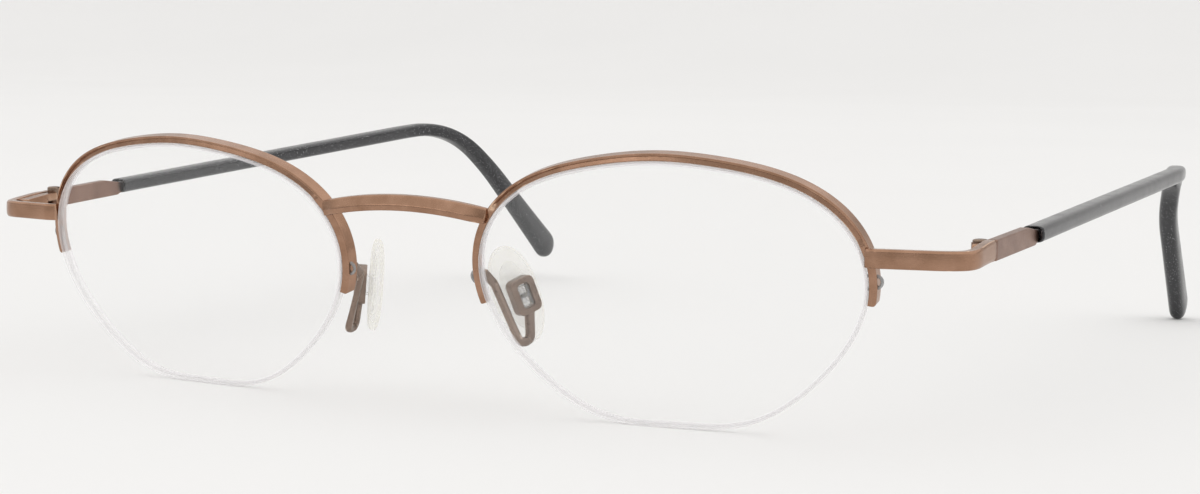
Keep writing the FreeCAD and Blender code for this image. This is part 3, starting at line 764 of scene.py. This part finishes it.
def fork_slot(side):
    """The saw cut that the rear leaf's knuckle turns in."""
    start = (FORK_LEFT[side] - 0.5, 8.3, BARREL_LOW + KNUCKLE_TALL)
    return block(start, (68.05, 12.0, BARREL_HIGH - KNUCKLE_TALL), 0.02)


def front_knuckles():
    lower = knuckle(BARREL_LOW, BARREL_LOW + KNUCKLE_TALL)
    upper = knuckle(BARREL_HIGH - KNUCKLE_TALL, BARREL_HIGH)
    return merged(lower, upper)


def rear_leaf():
    plate = block((LEAF_LEFT, 10.5, BARREL_LOW + 0.3), (LEAF_RIGHT, 13.5, BARREL_HIGH - 0.1), 0.07)
    low = BARREL_LOW + KNUCKLE_TALL + KNUCKLE_GAP
    high = BARREL_HIGH - KNUCKLE_TALL - KNUCKLE_GAP
    return merged(plate, knuckle(low, high))


def hinge_screw(side):
    low = BARREL_LOW - 0.2
    top = BARREL_HIGH + SCREW_HEAD_TALL[side]
    shank = [(0, low), (0.40, low), (0.52, low + 0.10), (0.54, low + 0.2), (0.54, BARREL_HIGH)]
    head = [(0.86, BARREL_HIGH), (0.92, BARREL_HIGH + 0.05), (0.92, top - 0.24), (0.90, top - 0.18),
            (0.82, top - 0.10), (0.66, top - 0.04), (0.4, top - 0.01), (0, top)]
    return lathe(shank + head, (HINGE_X, HINGE_Y), 48)


def screw_slot(side):
    """The cut across the screw's head."""
    low = BARREL_HIGH + SCREW_HEAD_TALL[side] - 0.25
    return block((HINGE_X - 2, HINGE_Y - 0.14, low), (HINGE_X + 2, HINGE_Y + 0.14, low + 1), 0.02)


# ---- temples ----

BAR_X = 68.875
BAR_TALL = 2.45
BAR_WIDE = 1.25
BAR_START = 10.45
BAR_END = 27.2
BAR_RISE = 0.058
SLEEVE_START = 26.6
SLEEVE_HALF = 1.03
SLEEVE_WIDE_HALF = 1.40
EAR_BEND_Y = 114.7
EAR_ANGLE = math.radians(41)
EAR_LONG = 38.4
TIP_ROUND = 2.7


def at_hinge(shape, side):
    """Turn a temple's shape about the middle of the hinge to the side's own set."""
    points, faces = shape
    swing, lift = (math.radians(a) for a in TEMPLE_SET[side])
    pivot = np.array([HINGE_X, HINGE_Y, HINGE_MIDDLE])
    turn = Matrix.Rotation(swing, 3, "Z") @ Matrix.Rotation(lift, 3, "X")
    return (np.array(points) - pivot) @ np.array(turn).T + pivot, faces


def bar_middle(y):
    """The height of the temple's centre line ahead of the ear bend."""
    return HINGE_MIDDLE + (y - LUG_END_Y) * BAR_RISE


def temple_bar():
    """The bare strip, chamfered above and below where it goes into the sleeve."""
    top_chamfer_y, top_chamfer = 23.0, 0.80
    low_chamfer_y, low_chamfer = 25.8, 0.50
    rings = []
    ys = [BAR_START, 10.47, 10.52, 10.6, *np.arange(11, 26.9, 0.4), 27.0, 27.12, 27.18, BAR_END]
    for y in ys:
        ease = 0.05 * np.clip(1 - (y - BAR_START) / 0.12, 0, 1) + 0.10 * np.clip((y - 27.0) / 0.2, 0, 1)
        above = top_chamfer * np.clip((y - top_chamfer_y) / (BAR_END - top_chamfer_y), 0, 1)
        below = low_chamfer * np.clip((y - low_chamfer_y) / (BAR_END - low_chamfer_y), 0, 1)
        high = BAR_TALL / 2 - above - ease
        low = below + ease - BAR_TALL / 2
        ring = rounded_box(BAR_WIDE - 2 * ease, high - low, 0.20, 4)
        rings.append([(BAR_X + a, y, bar_middle(y) + (high + low) / 2 + b) for a, b in ring])
    return sweep(rings)


def temple_path():
    """The sleeve's centre line: its side view and its plan, from its mouth to its tip."""
    start = (0, SLEEVE_START, bar_middle(SLEEVE_START))
    bend_z = bar_middle(EAR_BEND_Y)
    tip = (0, EAR_BEND_Y + EAR_LONG * math.cos(EAR_ANGLE), bend_z - EAR_LONG * math.sin(EAR_ANGLE))
    side = softened_path([start, (0, EAR_BEND_Y, bend_z), tip], 20.0, 30, 60)
    in_plan = [(BAR_X, SLEEVE_START, 0), (67.6, 106, 0), (62.1, 124, 0), (59.4, 150, 0)]
    plan = softened_path(in_plan, 30.0, 24, 40)
    side[:, 0] = np.interp(side[:, 1], plan[:, 1], plan[:, 0])
    lengths = np.concatenate([[0], np.cumsum(np.linalg.norm(np.diff(side, axis=0), axis=1))])
    total = lengths[-1]
    near_tip = total - np.array([TIP_ROUND, 2.1, 1.6, 1.2, 0.9, 0.6, 0.4, 0.25, 0.12, 0.05, 0.0])
    near_mouth = np.array([0.0, 0.04, 0.1, 0.18, 0.3])
    marks = np.concatenate([near_mouth, np.linspace(0.8, total - TIP_ROUND - 0.4, 150), near_tip])
    return np.stack([np.interp(marks, lengths, side[:, k]) for k in range(3)], -1), marks, total


def superellipse(wide, tall, power, points=40):
    turn = np.linspace(0, 2 * math.pi, points, endpoint=False)
    c, s = np.cos(turn), np.sin(turn)
    across = wide * np.sign(c) * np.abs(c) ** (2 / power)
    up = tall * np.sign(s) * np.abs(s) ** (2 / power)
    return np.stack([across, up], -1)


def sleeve():
    """The black sleeve: nearly even to the ear bend, then taller to its rounded tip."""
    path, marks, total = temple_path()
    ear_start = total - EAR_LONG
    rings = []
    for point, ahead, mark in zip(path, tangents(path), marks):
        grow = np.clip((mark - ear_start) / EAR_LONG, 0, 1)
        tall = SLEEVE_HALF + 0.12 * min(mark / ear_start, 1) + 1.55 * grow ** 1.5
        wide = SLEEVE_WIDE_HALF
        left = total - mark
        if left < TIP_ROUND:
            round_end = math.sqrt(max(1 - (1 - left / TIP_ROUND) ** 2, 0.0))
            tall *= max(round_end, 0.06)
            wide *= max(round_end, 0.06) ** 0.6
        mouth = 0.10 * np.clip(1 - mark / 0.2, 0, 1) ** 2
        across = unit(np.array([1.0, 0, 0]) - ahead * ahead[0])
        up = np.cross(across, ahead)
        power = 3.2 - 0.6 * grow
        section = superellipse(wide - mouth, tall - mouth, power)
        rings.append(point + section[:, :1] * across + section[:, 1:] * up)
    return sweep(rings)


def sleeve_mouth():
    """The hollow that the metal strip's end goes into."""
    rings = []
    for y, wide, tall in ((26.2, 2.0, 1.84), (26.8, 1.85, 1.72), (27.6, 1.35, 1.2)):
        ring = rounded_box(wide, tall, 0.3, 3)
        rings.append([(68.86 + a, y, bar_middle(y) + b) for a, b in ring])
    return sweep(rings)


# ---- nose pads. Pad frame: x across the pad, y up its length, z out of its bearing face ----

PAD_MIDDLE = np.array([10.25, 5.25, 13.9])
PAD_UP = unit(np.array([-0.242, -0.273, 0.931]))
PAD_TOWARDS = np.array([-0.84, 0.53, -0.06])
PAD_FACE = unit(PAD_TOWARDS - PAD_UP * np.dot(PAD_TOWARDS, PAD_UP))
PAD_ACROSS = np.cross(PAD_UP, PAD_FACE)


def from_pad(points):
    points = np.array(points, float)
    return PAD_MIDDLE + points[..., :1] * PAD_ACROSS + points[..., 1:2] * PAD_UP + points[..., 2:3] * PAD_FACE


def pad_form(long_half, wide_half, low, high, crown, round_power, steps=72):
    """An oval pillow: its face crowned, its rim rounded."""
    turn = np.linspace(0, 2 * math.pi, steps, endpoint=False)
    x = wide_half * np.sign(np.cos(turn)) * np.abs(np.cos(turn)) ** 0.94
    y = long_half * np.sign(np.sin(turn)) * np.abs(np.sin(turn)) ** 0.94
    middle = (low + high) / 2
    half = (high - low) / 2
    rings = []
    for tilt in np.linspace(-math.pi / 2, math.pi / 2, 25)[1:-1]:
        level = math.copysign(abs(math.sin(tilt)) ** (2 / round_power), math.sin(tilt))
        share = math.cos(tilt) ** (2 / (round_power + 1.6))
        z = middle + half * level
        dome = crown * (1 - share ** 2) if tilt > 0 else 0.0
        rings.append([(share * a, share * b, z - crown * (tilt > 0) + dome) for a, b in zip(x, y)])
    return sweep(from_pad(rings))


def nose_pad():
    return pad_form(6.4, 3.2, -0.9, 1.0, 0.22, 3.0)


def pad_core():
    """The pad's stiff insert: a plate inside the silicone, and a boss whose pivots the pad arm holds."""
    plate = pad_form(4.4, 1.9, -0.6, 0.0, 0.0, 4.0)
    boss = block((-0.6, -1.3, -2.75), (0.6, 1.3, -0.3), 0.12)
    pivot = []
    turn = np.linspace(0, 2 * math.pi, 20)[:-1]
    for x in (-1.3, -1.25, -1.15, 0, 1.15, 1.25, 1.3):
        radius = 0.28 - 0.08 * max(abs(x) - 1.15, 0) / 0.15
        pivot.append([(x, radius * math.cos(a), -2.0 + radius * math.sin(a)) for a in turn])
    pin_points, pin_faces = sweep(pivot)
    return merged(plate, (from_pad(boss[0]), boss[1]), (from_pad(pin_points), pin_faces))


def frame_plate():
    """The pad arm's plate: a rounded frame round a rounded window."""
    outer = rounded([(-1.7, -2.3), (1.7, -2.3), (1.7, 2.3), (-1.7, 2.3)], 0.95, 8)
    window = rounded([(-0.8, -1.55), (0.8, -1.55), (0.8, 1.55), (-0.8, 1.55)], 0.5, 8)
    bar = rounded([(0, -0.5), (1, -0.5), (1, 0.5), (0, 0.5)], 0.14, 3)
    rings = []
    for inside, outside in zip(window, outer):
        rings.append([(*(inside + (outside - inside) * a), -1.95 + 1.5 * b) for a, b in bar])
    points, faces = sweep(rings, loop=True)
    return from_pad(points), faces


def pad_arm():
    """The wire from the rim down, back and up again, and the plate on its end."""
    low_end = from_pad([[0.0, -1.95, -2.0]])[0]
    corners = [(9.35, -1.35, 17.2), (9.6, 0.9, 15.6), (12.5, 2.3, 8.3), (12.8, 4.4, 8.6), low_end]
    path = softened_path(corners, 1.1, 12, 10)
    lengths = np.concatenate([[0], np.cumsum(np.linalg.norm(np.diff(path, axis=0), axis=1))])
    share = lengths / lengths[-1]

    def section(i):
        wide = np.interp(share[i], [0, 0.2, 0.55, 0.75, 1], [1.2, 1.1, 1.0, 1.15, 1.4])
        thick = np.interp(share[i], [0, 0.5, 0.75, 1], [0.7, 0.75, 1.0, 0.95])
        end = min(lengths[i], 0.3) / 0.3
        return superellipse(wide / 2 * (0.8 + 0.2 * end), thick / 2 * (0.8 + 0.2 * end), 2.8, 28)

    wire = sweep(follow(path, section, (0.15, 0.9, 0.35)))
    return merged(wire, frame_plate())


# ---- putting the pieces in ----

place(bridge(), "bridge_bar", "left", "front", front_metal, ["bridge"])
for side in SIDES:
    def put(shape, name, body, material, node):
        """Place a piece of this side that stands for a CAD node."""
        return place(shape, f"{side}_{name}", side, body, material, [f"{side}_{node}"])

    put(rim(), "brow_rim", "front", front_metal, "rim")
    polished, ground = lens()
    put(merged(*polished), "clear_lens", "front", lens_clear, "lens")
    place(ground, f"{side}_lens_edge", side, "front", lens_edge)
    put(liner(), "liner_bead", "front", nylon_clear, "rim_liner")
    put(nylon_line(), "lens_line", "front", nylon_clear, "nylon_line")
    loops = merged(nylon_loop(math.radians(4.4)), nylon_loop(math.radians(178.0)))
    place(loops, f"{side}_line_loops", side, "front", nylon_grey)
    put(end_piece(), "lug", "front", front_metal, "end_piece")
    fork = put(front_fork(side), "hinge_fork", "front", front_metal, "front_leaf")
    carve(fork, fork_slot(side), side)
    place(front_knuckles(), f"{side}_hinge_knuckles", side, "front", hinge_metal)
    screw = put(hinge_screw(side), "screw", "front", screw_steel, "hinge_screw")
    carve(screw, screw_slot(side), side)
    put(rear_leaf(), "hinge_rear", f"{side}_temple", hinge_metal, "rear_leaf")
    strip = at_hinge(temple_bar(), side)
    put(strip, "temple_strip", f"{side}_temple", temple_metal, "temple_bar")
    tube = at_hinge(sleeve(), side)
    piece = put(tube, "ear_sleeve", f"{side}_temple", sleeve_black, "temple_sleeve")
    carve(piece, at_hinge(sleeve_mouth(), side), side)
    put(nose_pad(), "soft_pad", f"{side}_pad", pad_silicone, "nose_pad")
    put(pad_core(), "pad_insert", f"{side}_pad", pad_insert, "pad_core")
    put(pad_arm(), "pad_wire", "front", arm_metal, "pad_arm")
    core = frame["nodes"][f"{side}_core_wire"]
    core.data.materials.clear()
    core.data.materials.append(core_steel)


# ---- floor, light and camera ----

def backdrop():
    """A seamless sweep: a floor that curves up into a wall behind."""
    flat, turn = 1.5, 1.8
    section = [(-3.5, 0.0), (flat, 0.0)]
    angles = np.linspace(0, math.pi / 2, 24)[1:]
    section += [(flat + turn * math.sin(a), turn - turn * math.cos(a)) for a in angles]
    points = [(x, y, z) for y, z in section for x in (-4.0, 4.0)]
    faces = [(2 * i, 2 * i + 1, 2 * i + 3, 2 * i + 2) for i in range(len(section) - 1)]
    mesh = bpy.data.meshes.new("backdrop")
    mesh.from_pydata(points, [], faces)
    mesh.polygons.foreach_set("use_smooth", [True] * len(faces))
    sheet = bpy.data.objects.new("backdrop", mesh)
    bpy.context.scene.collection.objects.link(sheet)
    n = Nodes("backdrop")
    paper = n.ramp(n.noise(3, 2.0), [(0.3, (0.835, 0.83, 0.825)), (0.7, (0.85, 0.845, 0.84))])
    n.link(paper, n.shader.inputs["Base Color"])
    n.set(Roughness=0.9, Specular_IOR_Level=0.1)
    mesh.materials.append(n.material)


def soft_light(name, place_at, aim, size, power):
    lamp = bpy.data.lights.new(name, "AREA")
    lamp.shape = "RECTANGLE"
    lamp.size, lamp.size_y = size
    lamp.energy = power
    light = bpy.data.objects.new(name, lamp)
    light.location = place_at
    light.rotation_euler = (Vector(aim) - Vector(place_at)).to_track_quat("-Z", "Y").to_euler()
    bpy.context.scene.collection.objects.link(light)


def camera():
    """The photograph's view: a long lens 27 degrees to the wearer's left, just above the table."""
    azimuth, elevation, roll = (math.radians(a) for a in (27.46, 4.68, 0.61))
    distance = 302.76 * MM
    level = math.cos(elevation)
    back = Vector((math.sin(azimuth) * level, -math.cos(azimuth) * level, math.sin(elevation)))
    target = Vector((4.90, 30 + FRONT_LINE, 20.55)) * MM
    right = (-back).cross(Vector((0, 0, 1))).normalized()
    up = right.cross(-back)
    across = right * math.cos(roll) + up * math.sin(roll)
    above = up * math.cos(roll) - right * math.sin(roll)
    data = bpy.data.cameras.new("camera")
    data.sensor_width = 36
    data.lens = 67.70
    data.shift_x = 0.0243
    data.shift_y = -0.0179
    data.clip_start = 0.01
    data.clip_end = 20
    eye = bpy.data.objects.new("camera", data)
    matrix = Matrix((across, above, back)).transposed().to_4x4()
    matrix.translation = target + back * distance
    eye.matrix_world = matrix
    bpy.context.scene.collection.objects.link(eye)
    bpy.context.scene.camera = eye


def studio_air():
    """Even light from all round, dimmer from the room in front, where the camera stands."""
    world = bpy.data.worlds.new("studio")
    world.use_nodes = True
    nodes, links = world.node_tree.nodes, world.node_tree.links
    direction = nodes.new("ShaderNodeTexCoord")
    towards = nodes.new("ShaderNodeVectorMath")
    towards.operation = "DOT_PRODUCT"
    towards.inputs[1].default_value = (0.08, 0.36, 0.93)
    level = nodes.new("ShaderNodeMapRange")
    for name, value in (("From Min", -0.36), ("From Max", 0.45), ("To Min", 0.42), ("To Max", 1.12)):
        level.inputs[name].default_value = value
    links.new(direction.outputs["Generated"], towards.inputs[0])
    links.new(towards.outputs["Value"], level.inputs["Value"])
    links.new(level.outputs["Result"], nodes["Background"].inputs["Strength"])
    nodes["Background"].inputs["Color"].default_value = (1.0, 0.995, 0.985, 1)
    bpy.context.scene.world = world


backdrop()
studio_air()
soft_light("overhead", (0.30, 0.25, 1.1), (0.0, 0.0, 0.0), (1.3, 0.9), 0.35)
soft_light("front_strip", (-0.50, -1.00, 0.42), (0.0, -0.07, 0.02), (0.60, 0.22), 0.45)
bpy.context.scene.view_settings.view_transform = "Standard"
camera()
